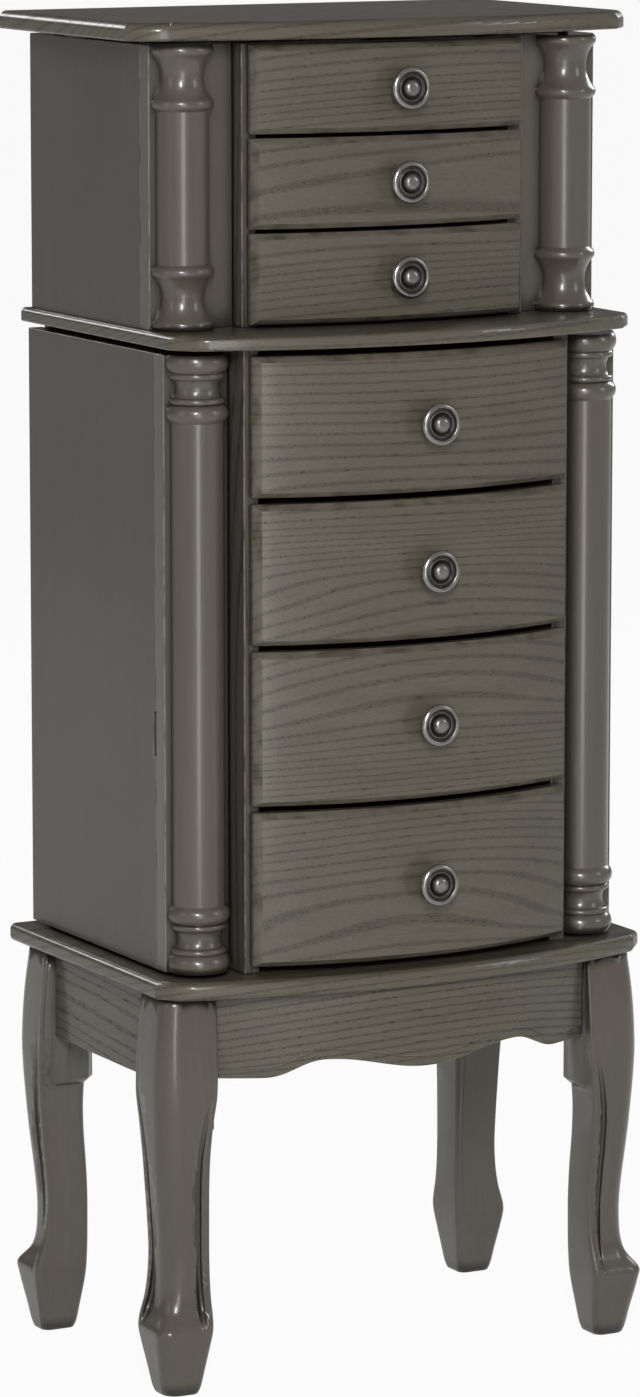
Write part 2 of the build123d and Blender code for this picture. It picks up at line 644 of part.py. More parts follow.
# Drawers: bowed front, four-board box, knob with its screw, two runners
def make_drawer(name, z0, z1, bay_half, end, bow, box_top):
    front_half = bay_half - FRONT_REVEAL
    bay_inner = bay_half - PANEL_THICK
    box_outer = bay_inner - BOX_SIDE_GAP
    box_inner = box_outer - BOX_SIDE
    rear, middle = end - FRONT_EDGE, end + bow
    hollow_mid = middle - FRONT_MIDDLE
    outer = bow_face(front_half, rear, end, middle)
    hollow = bow_face(box_inner, 0, rear, hollow_mid)
    front = Pos(0, 0, z0) * extrude(outer - hollow, amount=z1 - z0, dir=(0, 0, 1))
    face = front.faces().sort_by(Axis.Y)[0]
    front = chamfer(face.edges(), BEVEL_DEEP, BEVEL_WIDE, reference=face)
    knob_z = (z0 + z1) / 2
    seat = Pos(0, y_at(middle), knob_z)
    drill = Rot(90, 0, 0) * Cylinder(SCREW_RADIUS + SCREW_CLEAR, 4 * FRONT_MIDDLE)
    pieces[f"{name}_front"] = front - seat * drill
    pieces[f"{name}_knob"] = [seat * knob, seat * screw]
    runner_top = z0 + RUNNER_RISE + RUNNER_HEIGHT
    box_bottom = runner_top + SLIDE_GAP
    tail = PANEL_FRONT + BOX_REAR_GAP
    floor_z = box_bottom + BOX_BOTTOM_RISE
    sides = both_sides(slab(box_inner, box_outer, tail, rear, box_bottom, box_top))
    back = slab(-box_inner, box_inner, tail, tail + BOX_BACK, box_bottom, box_top)
    floor = extrude(
        bow_face(box_inner, tail + BOX_BACK, rear, hollow_mid), amount=BOX_BOTTOM, dir=(0, 0, 1)
    )
    pieces[f"{name}_box"] = [*sides, back, Pos(0, 0, floor_z) * floor]
    runner_front = rear - FRONT_SHADOW
    runner_inner = bay_inner - RUNNER_WIDTH
    return both_sides(
        slab(runner_inner, bay_inner, PANEL_FRONT, runner_front, z0 + RUNNER_RISE, runner_top)
    )


def make_stack(names, shares, foot, head, gap, bay_half, end, bow, ceiling):
    unit = (head - foot - gap * (len(shares) - 1)) / sum(shares)
    runners, z0 = [], foot
    for name, share in zip(names, shares):
        z1 = z0 + share * unit
        runners += make_drawer(name, z0, z1, bay_half, end, bow, min(z1, ceiling) - BOX_TOP_GAP)
        z0 = z1 + gap
    return runners


pieces["lower_runners"] = make_stack(
    ["drawer_7", "drawer_6", "drawer_5", "drawer_4"],
    LOWER_SHARES,
    BASE_TOP + LOWER_STACK_FOOT,
    WAIST_BOTTOM - LOWER_STACK_HEAD,
    LOWER_FRONT_GAP,
    LOWER_BAY_HALF,
    LOWER_FACE_END,
    LOWER_BOW,
    WAIST_BOTTOM,
)
pieces["upper_runners"] = make_stack(
    ["drawer_3", "drawer_2", "drawer_1"],
    UPPER_SHARES,
    WAIST_TOP + UPPER_STACK_FOOT,
    LID_BOTTOM - UPPER_STACK_HEAD,
    UPPER_FRONT_GAP,
    UPPER_BAY_HALF,
    UPPER_FACE_END,
    UPPER_BOW,
    DECK_BOTTOM + BOX_TOP_GAP - RUNNER_RISE,
)

# One file per piece
os.makedirs("parts", exist_ok=True)
for node, shape in pieces.items():
    solids = shape if isinstance(shape, list) else [shape]
    solids = [s for group in solids for s in group.solids()]
    export_step(Compound(children=solids) if len(solids) > 1 else solids[0], f"parts/{node}.step")
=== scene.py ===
import json
import math
from typing import NamedTuple

import bmesh
import bpy
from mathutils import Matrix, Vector

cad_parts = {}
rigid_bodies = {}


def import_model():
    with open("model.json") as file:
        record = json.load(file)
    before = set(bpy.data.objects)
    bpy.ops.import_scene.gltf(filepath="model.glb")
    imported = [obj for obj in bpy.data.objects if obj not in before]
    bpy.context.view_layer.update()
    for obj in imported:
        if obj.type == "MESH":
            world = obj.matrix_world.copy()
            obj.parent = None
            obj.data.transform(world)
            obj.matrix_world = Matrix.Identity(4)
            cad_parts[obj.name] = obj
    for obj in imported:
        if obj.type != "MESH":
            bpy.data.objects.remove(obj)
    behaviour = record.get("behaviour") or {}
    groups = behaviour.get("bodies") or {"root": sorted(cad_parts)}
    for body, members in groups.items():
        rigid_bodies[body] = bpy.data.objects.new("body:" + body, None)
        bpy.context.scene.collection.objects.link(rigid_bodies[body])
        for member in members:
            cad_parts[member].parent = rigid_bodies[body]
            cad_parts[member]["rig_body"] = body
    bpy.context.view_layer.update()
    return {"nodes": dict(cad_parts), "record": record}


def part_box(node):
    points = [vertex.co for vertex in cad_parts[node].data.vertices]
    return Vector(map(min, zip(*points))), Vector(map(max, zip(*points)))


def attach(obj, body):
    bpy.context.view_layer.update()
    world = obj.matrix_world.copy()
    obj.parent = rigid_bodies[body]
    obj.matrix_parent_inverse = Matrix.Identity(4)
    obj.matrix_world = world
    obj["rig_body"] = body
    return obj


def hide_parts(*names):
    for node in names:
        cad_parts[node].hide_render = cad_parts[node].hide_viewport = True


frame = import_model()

bl_info = {
    "name": "Jewelry Armoire",
    "version": (1, 0, 0),
    "blender": (4, 5, 0),
    "location": "View3D > Sidebar > Armoire",
    "description": "Dresses the armoire's frame with finished pieces, a floor, light and a camera",
    "category": "Object",
}

NODES = frame["nodes"]
SLOT_OF = {part["node"]: part["material_slot"] for part in frame["record"]["subparts"]}
DRAWERS = [f"drawer_{number}" for number in range(1, 8)]

# Mesh tolerances: joined points, flat seams, corners to ease, creases, level faces, straight arcs
WELD = 1e-5
FLAT_ANGLE = math.radians(0.4)
CORNER_ANGLE = math.radians(33)
CREASE_ANGLE = math.radians(40)
LEVEL_FACE = 0.9
STRAIGHT = 1e-12
# Eased corners: faces across and how full the round is
ROUND_SEGMENTS = 2
ROUND_PROFILE = 0.5


class ArmoireFinishes(bpy.types.PropertyGroup):
    """Colours and grain of the wood, metal and cloth"""

    stain_light: bpy.props.FloatVectorProperty(
        name="Stain, light", description="Wood between the growth rings",
        subtype="COLOR", size=3, min=0, max=1, default=(0.112, 0.101, 0.073),
    )
    stain_dark: bpy.props.FloatVectorProperty(
        name="Stain, dark", description="Wood on the growth rings",
        subtype="COLOR", size=3, min=0, max=1, default=(0.046, 0.040, 0.028),
    )
    upright_light: bpy.props.FloatVectorProperty(
        name="Upright stain, light", description="Plain upright boards, legs and columns",
        subtype="COLOR", size=3, min=0, max=1, default=(0.098, 0.086, 0.068),
    )
    upright_dark: bpy.props.FloatVectorProperty(
        name="Upright stain, dark", description="Streaks on the upright boards, legs and columns",
        subtype="COLOR", size=3, min=0, max=1, default=(0.056, 0.048, 0.037),
    )
    # Panel tones: a darker copy of the upright stain, painted shade on the side and back panels
    shaded_panel_light: bpy.props.FloatVectorProperty(
        name="Panel stain, light", description="Side and back panels",
        subtype="COLOR", size=3, min=0, max=1, default=(0.070, 0.060, 0.050),
    )
    shaded_panel_dark: bpy.props.FloatVectorProperty(
        name="Panel stain, dark", description="Streaks on the side and back panels",
        subtype="COLOR", size=3, min=0, max=1, default=(0.046, 0.039, 0.032),
    )
    # The pore tone is also the colour of the painted shade in corners and between parts
    pore: bpy.props.FloatVectorProperty(
        name="Pores", description="Stain that has settled in the open pores",
        subtype="COLOR", size=3, min=0, max=1, default=(0.014, 0.012, 0.010),
    )
    # Painted highlight: a pale tone laid in patches on the eased corners and drawer bevels in place
    # of their glints
    painted_edge_highlight: bpy.props.FloatVectorProperty(
        name="Rubbed edge", description="Stain worn thin along the corners",
        subtype="COLOR", size=3, min=0, max=1, default=(0.230, 0.215, 0.180),
    )
    inner_light: bpy.props.FloatVectorProperty(
        name="Inner boards, light", description="Boards that show only when a drawer is open",
        subtype="COLOR", size=3, min=0, max=1, default=(0.075, 0.068, 0.058),
    )
    inner_dark: bpy.props.FloatVectorProperty(
        name="Inner boards, dark", description="Grain of the inner boards",
        subtype="COLOR", size=3, min=0, max=1, default=(0.040, 0.036, 0.031),
    )
    pewter: bpy.props.FloatVectorProperty(
        name="Pewter", description="Polished high spots of the knobs",
        subtype="COLOR", size=3, min=0, max=1, default=(0.28, 0.27, 0.255),
    )
    patina: bpy.props.FloatVectorProperty(
        name="Patina", description="Dark film in the knob grooves",
        subtype="COLOR", size=3, min=0, max=1, default=(0.026, 0.024, 0.022),
    )
    brass: bpy.props.FloatVectorProperty(
        name="Brass", description="Hinges and necklace hooks",
        subtype="COLOR", size=3, min=0, max=1, default=(0.40, 0.31, 0.16),
    )
    brass_tarnish: bpy.props.FloatVectorProperty(
        name="Brass tarnish", description="Dull patches on the hinges and hooks",
        subtype="COLOR", size=3, min=0, max=1, default=(0.16, 0.12, 0.06),
    )
    velvet: bpy.props.FloatVectorProperty(
        name="Velvet", description="Ring cushion cover",
        subtype="COLOR", size=3, min=0, max=1, default=(0.030, 0.028, 0.029),
    )
    lining: bpy.props.FloatVectorProperty(
        name="Lining", description="Felt on the drawer floors, tray decks and bumpers",
        subtype="COLOR", size=3, min=0, max=1, default=(0.028, 0.027, 0.026),
    )
    housing: bpy.props.FloatVectorProperty(
        name="Magnet housing", description="Moulded housing of the door magnets",
        subtype="COLOR", size=3, min=0, max=1, default=(0.020, 0.020, 0.020),
    )
    silver: bpy.props.FloatVectorProperty(
        name="Silvering", description="Mirror under the lid",
        subtype="COLOR", size=3, min=0, max=1, default=(0.88, 0.90, 0.90),
    )


class ArmoireSizes(bpy.types.PropertyGroup):
    """Sizes of the details that the looks add"""

    corner_round: bpy.props.FloatProperty(
        name="Corner round", description="Width of the eased corner on wooden boards",
        subtype="DISTANCE", unit="LENGTH", default=0.0007,
    )
    fitting_round: bpy.props.FloatProperty(
        name="Fitting round", description="Width of the eased corner on metal and moulded fittings",
        subtype="DISTANCE", unit="LENGTH", default=0.0002,
    )
    knob_reach: bpy.props.FloatProperty(
        name="Knob reach", description="Distance from the drawer face to the knob's tip",
        subtype="DISTANCE", unit="LENGTH", default=0.020,
    )
    capital_height: bpy.props.FloatProperty(
        name="Lower capital height", description="Turned part at each end of a door column",
        subtype="DISTANCE", unit="LENGTH", default=0.050,
    )
    upper_capital_height: bpy.props.FloatProperty(
        name="Upper capital height", description="Turned part at each end of an upper column",
        subtype="DISTANCE", unit="LENGTH", default=0.048,
    )
    cushion_rolls: bpy.props.IntProperty(
        name="Cushion rolls", description="Stuffed rolls that hold rings", default=6, min=2,
    )
    cushion_pad: bpy.props.FloatProperty(
        name="Cushion pad", description="Height of the roll centres above the tray",
        subtype="DISTANCE", unit="LENGTH", default=0.009,
    )


class ArmoireStage(bpy.types.PropertyGroup):
    """Camera, floor and lights"""

    camera_place: bpy.props.FloatVectorProperty(
        name="Camera", description="Where the camera stands", subtype="TRANSLATION", unit="LENGTH",
        size=3, default=(-2.1299, -3.9490, 1.2303),
    )
    camera_yaw: bpy.props.FloatProperty(
        name="Yaw", description="Turn of the view to the right of straight ahead",
        subtype="ANGLE", default=math.radians(28.12),
    )
    camera_pitch: bpy.props.FloatProperty(
        name="Pitch", description="Tilt of the view below level",
        subtype="ANGLE", default=math.radians(9.27),
    )
    lens: bpy.props.FloatProperty(
        name="Lens", description="Focal length in millimetres on a 36 mm tall frame",
        default=154.23,
    )
    floor_tone: bpy.props.FloatVectorProperty(
        name="Floor", description="Colour of the floor", subtype="COLOR", size=3, min=0, max=1,
        default=(0.86, 0.86, 0.86),
    )
    floor_reach: bpy.props.FloatProperty(
        name="Floor radius", description="How far the floor runs",
        subtype="DISTANCE", unit="LENGTH", default=60,
    )
    room_light: bpy.props.FloatProperty(
        name="Room light", description="Strength of the even light from all round", default=0.15,
    )


# Shader building

HALF = 0.5
WHITE = (1, 1, 1, 1)


class Wire:
    """A shader value that takes part in Python arithmetic"""

    def __init__(self, web, socket):
        self.web = web
        self.socket = socket

    def math(self, operation, *values):
        """One sum on these values, wires or plain numbers"""
        return self.web.add("ShaderNodeMath", {"operation": operation}, dict(enumerate(values)))

    def __add__(self, other):
        return self.math("ADD", self, other)

    def __radd__(self, other):
        return self.math("ADD", other, self)

    def __sub__(self, other):
        return self.math("SUBTRACT", self, other)

    def __rsub__(self, other):
        return self.math("SUBTRACT", other, self)

    def __mul__(self, other):
        return self.math("MULTIPLY", self, other)

    def __rmul__(self, other):
        return self.math("MULTIPLY", other, self)

    def centred(self):
        """A noise of 0 to 1 moved to lie about 0"""
        return self - HALF

    def wave(self):
        """The sine of this value, moved to run from 0 to 1"""
        return self.math("SINE", self) * HALF + HALF

    def larger(self, other):
        return self.math("MAXIMUM", self, other)

    def step(self, low, high):
        """0 below low, 1 above high and smooth between them"""
        settings = {"interpolation_type": "SMOOTHSTEP"}
        sockets = {"Value": self, "From Min": low, "From Max": high}
        return self.web.add("ShaderNodeMapRange", settings, sockets)


class Web:
    """One node tree, with a single method that adds any node"""

    def __init__(self, tree):
        self.tree = tree
        self.tree.nodes.clear()

    def add(self, kind, settings=None, sockets=None, out=0):
        """A node with its settings and with a value or a wire on each socket named"""
        node = self.tree.nodes.new(kind)
        for key, value in (settings or {}).items():
            setattr(node, key, value)
        for key, value in (sockets or {}).items():
            if isinstance(value, Wire):
                self.tree.links.new(value.socket, node.inputs[key])
            else:
                node.inputs[key].default_value = value
        return Wire(self, node.outputs[out]) if len(node.outputs) else node

    def place(self):
        """Where a point lies on the piece, in metres"""
        return self.add("ShaderNodeTexCoord", out="Object")

    def vector(self, operation, first, second, out=0):
        """One sum on two vectors"""
        settings = {"operation": operation}
        return self.add("ShaderNodeVectorMath", settings, {0: first, 1: second}, out)

    def noise(self, place, cells, detail=2.0, roughness=0.5, warp=0.0):
        """Soft cloudy value about 0.5, with so many cells to a metre on each axis"""
        sockets = {
            "Vector": self.vector("MULTIPLY", place, cells),
            "Scale": 1.0,
            "Detail": detail,
            "Roughness": roughness,
            "Distortion": warp,
        }
        return self.add("ShaderNodeTexNoise", {}, sockets)

    def mix(self, share, first, second):
        """Colour that goes from the first to the second"""
        sockets = {"Factor": share, 6: first, 7: second}
        return self.add("ShaderNodeMix", {"data_type": "RGBA"}, sockets, out=2)

    def bump(self, height, strength, distance):
        """Normal of a surface with this relief"""
        sockets = {"Height": height, "Strength": strength, "Distance": distance}
        return self.add("ShaderNodeBump", {}, sockets)

    def mark(self, name):
        """Value written on the mesh under that name"""
        return self.add("ShaderNodeAttribute", {"attribute_name": name}, out="Fac")


def rgba(tone):
    """A colour of three parts with full cover"""
    return (*tone[:3], 1.0)


def surface(name, build):
    """A material whose one surface shader has the sockets that build gives"""
    material = bpy.data.materials.get(name)
    if material:
        return material
    material = bpy.data.materials.new(name)
    material.use_nodes = True
    web = Web(material.node_tree)
    shader = web.add("ShaderNodeBsdfPrincipled", {}, build(web))
    web.add("ShaderNodeOutputMaterial", {}, {"Surface": shader})
    return material


class WoodFinish(NamedTuple):
    """Names of the two tones, strength of the marks, lacquer, and reach of the painted shade into
    corners and between parts
    """

    light: str
    dark: str
    pores: float = 1.0
    figure: float = 1.0
    sheen: float = 1.0
    haze: float = 0.12
    shade_reach: float = 0.004


WOODS = {
    # Drawer fronts and boards
    "face": WoodFinish("stain_light", "stain_dark", sheen=1.4),
    # Aprons, with dense pores
    "apron": WoodFinish("stain_light", "stain_dark", pores=1.25, figure=1.2),
    # Legs, columns and the boards behind them, nearly plain
    "upright": WoodFinish(
        "upright_light", "upright_dark", pores=0.30, figure=0.10,
        sheen=2.0, haze=0.18, shade_reach=0.015,
    ),
    # Side and back panels, plain, in a darker copy of the upright stain as painted shade
    "panel": WoodFinish("shaded_panel_light", "shaded_panel_dark", pores=0.30, figure=0.12),
    # Partitions, coarse and dark
    "rough": WoodFinish("upright_light", "inner_dark", pores=1.35, figure=1.2, sheen=0.3),
    # Boards that show only when something is open
    "inner": WoodFinish("inner_light", "inner_dark", pores=0.5, figure=0.4, sheen=0.2),
}
# Growth rings, for fibres along each axis: even run in radians a metre, cells of wander to a metre
RING_RUN = {"X": (0, 300, 780), "Y": (300, 0, 780), "Z": (780, 780, 0)}
RING_SPREAD = {"X": (0.9, 2.5, 7.0), "Y": (2.5, 0.9, 7.0), "Z": (7.0, 7.0, 0.9)}
# How far the rings wander, in radians
RING_WANDER = 135
# Cells to a metre, along and across the fibres, or in every direction
STREAK_CELLS = (3.0, 70)
FIBRE_CELLS = (14, 900)
PORE_CELLS = (85, 1600)
CLOUD_CELLS = (5, 5, 5)
HIGHLIGHT_CELLS = (60, 60, 60)
# Where noise turns into a ring, a pore and a patch of painted highlight, where the painted shade
# sets in, and where the stain turns dark
RING_EDGE = (0.66, 1.0)
PORE_EDGE = (0.54, 0.63)
HIGHLIGHT_EDGE = (0.32, 0.58)
SHADE_EDGE = (0.10, 0.54)
DARK_EDGE = (-0.45, 0.75)
# Share of the pores that lie off the rings
LOOSE_PORES = 0.22
# How much each mark darkens or lightens the stain
RING_TONE, FIBRE_TONE, STREAK_TONE, CLOUD_TONE = 0.30, 0.50, 0.45, 0.40
PORE_TONE, HIGHLIGHT_TONE, SHADE_TONE = 0.75, 0.65, 0.9
# Rays that look for corners and nearby parts, where the painted shade is laid
SHADE_SAMPLES = 8
# Roughness of the plain wood, and how much each mark changes it
WOOD_ROUGH, PORE_ROUGH, CLOUD_ROUGH, FIBRE_ROUGH = 0.34, 0.22, 0.14, 0.08
# How far each mark stands out or sinks in, and the strength and depth of that relief
FIBRE_RISE, PORE_DROP, RING_DROP = 0.2, 0.9, 0.1
GRAIN_STRENGTH, GRAIN_DEPTH = 0.28, 0.0004
# Lacquer on the plain wood, what of it is lost in a pore, and the shine under it
LACQUER, LACQUER_LOST_IN_PORES = 0.34, 0.25
WOOD_SHINE = 0.3


def along_and_across(axis, cells):
    """Cells along the fibres' axis and across it, as a scale on X, Y and Z"""
    along, across = cells
    return tuple(along if here == axis else across for here in "XYZ")


def wood(finish, axis):
    """Open-grained stained wood under a semi-gloss lacquer, with its fibres along one axis"""
    tones = bpy.context.scene.armoire_finishes
    kind = WOODS[finish]
    light, dark = rgba(getattr(tones, kind.light)), rgba(getattr(tones, kind.dark))

    def build(web):
        place = web.place()
        drift = web.noise(place, RING_SPREAD[axis], detail=1.2, roughness=0.4, warp=0.25)
        run = web.vector("DOT_PRODUCT", place, RING_RUN[axis], out="Value")
        ring = (run + drift * RING_WANDER).wave().step(*RING_EDGE) * kind.figure
        streak = web.noise(place, along_and_across(axis, STREAK_CELLS))
        fibre = web.noise(place, along_and_across(axis, FIBRE_CELLS), detail=3.0, roughness=0.6)
        dash = web.noise(place, along_and_across(axis, PORE_CELLS), roughness=0.55)
        pore = dash.step(*PORE_EDGE) * (LOOSE_PORES + ring * (1 - LOOSE_PORES)) * kind.pores
        cloud = web.noise(place, CLOUD_CELLS)
        depth = ring * RING_TONE + fibre.centred() * FIBRE_TONE
        depth = depth + streak.centred() * STREAK_TONE + cloud.centred() * CLOUD_TONE
        tone = web.mix(depth.step(*DARK_EDGE), light, dark)
        tone = web.mix(pore * PORE_TONE, tone, rgba(tones.pore))
        # Painted highlight: the pale tone in noisy patches on the marked corner and bevel faces
        painted_highlight = web.mark("edge_highlight") * web.noise(place, HIGHLIGHT_CELLS, detail=3.0).step(*HIGHLIGHT_EDGE)
        tone = web.mix(painted_highlight * HIGHLIGHT_TONE, tone, rgba(tones.painted_edge_highlight))
        # Painted shade: ambient occlusion darkens corners, recesses and faces beside other parts
        # towards the pore tone
        settings, reach = {"samples": SHADE_SAMPLES}, {"Distance": kind.shade_reach}
        open_sky = web.add("ShaderNodeAmbientOcclusion", settings, reach, out="AO")
        painted_shade = (1 - open_sky).step(*SHADE_EDGE) * SHADE_TONE
        height = fibre * FIBRE_RISE - pore * PORE_DROP - ring * RING_DROP
        uneven = cloud.centred() * CLOUD_ROUGH + fibre.centred() * FIBRE_ROUGH
        return {
            "Base Color": web.mix(painted_shade, tone, rgba(tones.pore)),
            "Roughness": WOOD_ROUGH + pore * PORE_ROUGH + uneven,
            "Specular IOR Level": WOOD_SHINE,
            "Coat Weight": (LACQUER - pore * LACQUER_LOST_IN_PORES) * kind.sheen,
            "Coat Roughness": kind.haze,
            "Normal": web.bump(height, GRAIN_STRENGTH, GRAIN_DEPTH),
        }

    return surface(f"{finish}_wood_{axis.lower()}", build)


# Metal: cells to a metre, where and how much noise turns into tarnish, what its film covers and
# roughens, and the relief of the casting
TARNISH_CELLS = (240, 240, 240)
GRIT_CELLS = (1900, 1900, 1900)
TARNISH_EDGE = (0.50, 0.78)
TARNISH_SHARE = 0.35
FILM_COVER, FILM_ROUGH, GRIT_ROUGH = 0.35, 0.28, 0.10
GRIT_RISE = 0.5
CAST_STRENGTH, CAST_DEPTH = 0.12, 0.0003


def metal(name, bright, dull, roughness):
    """Cast or pressed metal with tarnish in patches and in marked recesses"""

    def build(web):
        place = web.place()
        patch = web.noise(place, TARNISH_CELLS, detail=4.0, roughness=0.6)
        grit = web.noise(place, GRIT_CELLS)
        film = (web.mark("recess") + patch.step(*TARNISH_EDGE) * TARNISH_SHARE).step(0.0, 1.0)
        return {
            "Base Color": web.mix(film, rgba(bright), rgba(dull)),
            "Metallic": 1.0 - film * FILM_COVER,
            "Roughness": roughness + film * FILM_ROUGH + grit.centred() * GRIT_ROUGH,
            "Normal": web.bump(grit * GRIT_RISE + patch, CAST_STRENGTH, CAST_DEPTH),
        }

    return surface(name, build)


# Cloth: cells to a metre, how nap and hairs add up, how much paler the brushed side is, roughness
# and relief
NAP_CELLS = (70, 70, 70)
NAP_SHARE, HAIR_SHARE, PILE_LEAN = 0.6, 0.5, 0.1
BRUSHED_EDGE = (0.2, 0.8)
BRUSHED_LIFT = 1.9
CLOTH_ROUGH, HAIR_ROUGH, PILE_ROUGH = 0.86, 0.12, 0.35
NAP_RISE = 0.6
PILE_STRENGTH, PILE_DEPTH = 0.45, 0.0008


def cloth(name, tone, pile, sheen):
    """Brushed cloth with a short pile of so many hairs to a metre"""

    def build(web):
        place = web.place()
        nap = web.noise(place, NAP_CELLS, detail=3.0)
        hair = web.noise(place, (pile, pile, pile), roughness=0.7)
        lighter = tuple(min(1.0, part * BRUSHED_LIFT) for part in tone)
        brushed = (nap * NAP_SHARE + hair * HAIR_SHARE - PILE_LEAN).step(*BRUSHED_EDGE)
        return {
            "Base Color": web.mix(brushed, rgba(tone), rgba(lighter)),
            "Roughness": CLOTH_ROUGH + hair.centred() * HAIR_ROUGH,
            "Sheen Weight": sheen,
            "Sheen Roughness": PILE_ROUGH,
            "Normal": web.bump(hair + nap * NAP_RISE, PILE_STRENGTH, PILE_DEPTH),
        }

    return surface(name, build)


def felt_lining():
    """Felt on the drawer floors, tray decks and bumpers"""
    tones = bpy.context.scene.armoire_finishes
    return cloth("felt_lining", tones.lining, pile=1500, sheen=0.25)


# Moulded plastic: cells to a metre, how much paler its sparks are, roughness and relief
SPARK_CELLS = (1400, 1400, 1400)
SPARK_LIFT = 1.5
MOULDED_ROUGH, SPARK_ROUGH = 0.48, 0.2
SPARK_STRENGTH, SPARK_DEPTH = 0.25, 0.0003


def moulded(name, tone):
    """Moulded plastic with a fine spark texture"""

    def build(web):
        spark = web.noise(web.place(), SPARK_CELLS, detail=3.0)
        lighter = tuple(part * SPARK_LIFT for part in tone)
        return {
            "Base Color": web.mix(spark, rgba(tone), rgba(lighter)),
            "Roughness": MOULDED_ROUGH + spark.centred() * SPARK_ROUGH,
            "Normal": web.bump(spark, SPARK_STRENGTH, SPARK_DEPTH),
        }

    return surface(name, build)


# Mirror: cells of the wiping marks to a metre, where they dim and blur it, and how much
WIPE_CELLS = (9, 40, 40)
WIPE_DIMS, WIPE_BLURS = (0.4, 0.7), (0.45, 0.75)
WIPE_DIMMER = 0.95
MIRROR_ROUGH, WIPE_ROUGH = 0.012, 0.035


def silvered(name, tone):
    """Silvered glass with faint wiping marks"""

    def build(web):
        wipe = web.noise(web.place(), WIPE_CELLS, detail=4.0, roughness=0.6, warp=0.8)
        dimmer = tuple(part * WIPE_DIMMER for part in tone)
        return {
            "Base Color": web.mix(wipe.step(*WIPE_DIMS), rgba(tone), rgba(dimmer)),
            "Metallic": 1.0,
            "Roughness": MIRROR_ROUGH + wipe.step(*WIPE_BLURS) * WIPE_ROUGH,
        }

    return surface(name, build)


# Mesh building


def finished(node, mesh, materials):
    """Turns a bmesh into the piece that stands for a CAD node, on its body"""
    name, replaced = f"{node}_finish", [node]
    body, slot = NODES[node]["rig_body"], SLOT_OF[node]
    data = bpy.data.meshes.new(name)
    mesh.normal_update()
    mesh.to_mesh(data)
    mesh.free()
    data.polygons.foreach_set("use_smooth", [True] * len(data.polygons))
    for material in materials:
        data.materials.append(material)
    piece = bpy.data.objects.new(name, data)
    bpy.context.scene.collection.objects.link(piece)
    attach(piece, body)
    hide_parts(*replaced)
    return piece


def welded(node):
    """The CAD piece's mesh with its split points joined"""
    mesh = bmesh.new()
    mesh.from_mesh(NODES[node].data)
    bmesh.ops.remove_doubles(mesh, verts=mesh.verts, dist=WELD)
    return mesh


def eased(node, width, *materials, lined=None):
    """The CAD piece with eased corners that take a painted highlight, and a second material where
    lined says so
    """
    mesh = welded(node)
    bmesh.ops.dissolve_limit(mesh, angle_limit=FLAT_ANGLE, verts=mesh.verts[:], edges=mesh.edges[:])
    edge_highlight = mesh.faces.layers.float.new("edge_highlight")
    shared = {vert for edge in mesh.edges if len(edge.link_faces) > 2 for vert in edge.verts}
    corners = [
        edge for edge in mesh.edges
        if len(edge.link_faces) == 2
        and edge.calc_face_angle() > CORNER_ANGLE
        and shared.isdisjoint(edge.verts)
    ]
    made = bmesh.ops.bevel(
        mesh, geom=corners, offset=width, offset_type="OFFSET", affect="EDGES",
        segments=ROUND_SEGMENTS, profile=ROUND_PROFILE, clamp_overlap=True,
    )
    # New corner faces take the painted highlight
    for face in made["faces"]:
        face[edge_highlight] = 1.0
    if lined:
        mesh.normal_update()
        for face in mesh.faces:
            face.material_index = int(lined(face))
    piece = finished(node, mesh, materials)
    piece.modifiers.new("even_shading", "WEIGHTED_NORMAL").keep_sharp = True
    return piece


def smoothed(node, *materials):
    """The CAD piece with its curved faces shaded smooth"""
    piece = finished(node, welded(node), materials)
    piece.data.set_sharp_from_angle(angle=CREASE_ANGLE)
    return piece


def arc_points(start, middle, end, count):
    """Points after start on the round through three points, evenly turned"""
    (ax, ay), (bx, by), (cx, cy) = start, middle, end
    d = 2 * (ax * (by - cy) + bx * (cy - ay) + cx * (ay - by))
    if abs(d) < STRAIGHT:
        return [end]
    a2, b2, c2 = ax * ax + ay * ay, bx * bx + by * by, cx * cx + cy * cy
    ux = (a2 * (by - cy) + b2 * (cy - ay) + c2 * (ay - by)) / d
    uy = (a2 * (cx - bx) + b2 * (ax - cx) + c2 * (bx - ax)) / d
    radius = math.hypot(ax - ux, ay - uy)
    first = math.atan2(ay - uy, ax - ux)
    turn_mid = (math.atan2(by - uy, bx - ux) - first) % math.tau
    turn = (math.atan2(cy - uy, cx - ux) - first) % math.tau
    if turn_mid > turn:
        turn -= math.tau
    angles = [first + turn * step / count for step in range(1, count + 1)]
    return [(ux + radius * math.cos(a), uy + radius * math.sin(a)) for a in angles]


def drawn(start, strokes, count):
    """Outline points from strokes that are an end alone, or a middle and an end of a round"""
    points = [start]
    for middle, end in strokes:
        points += [end] if middle is None else arc_points(points[-1], middle, end, count)
    return points


def turned(mesh, outline, segments, to_space, half=False):
    """Turns an outline of radius and height about its axis, as a whole or half round"""
    sweep = math.pi if half else math.tau
    angles = [sweep * i / segments for i in range(segments + 1 if half else segments)]
    rings = [[mesh.verts.new(to_space(r, h, a)) for a in angles] for r, h in outline]
    for low, high in zip(rings, rings[1:]):
        for i in range(segments):
            j = (i + 1) % len(angles)
            mesh.faces.new((low[i], low[j], high[j], high[i]))
        if half:
            mesh.faces.new((low[-1], low[0], high[0], high[-1]))
    mesh.faces.new(list(reversed(rings[0])))
    mesh.faces.new(rings[-1])
    bmesh.ops.recalc_face_normals(mesh, faces=mesh.faces)
    return rings


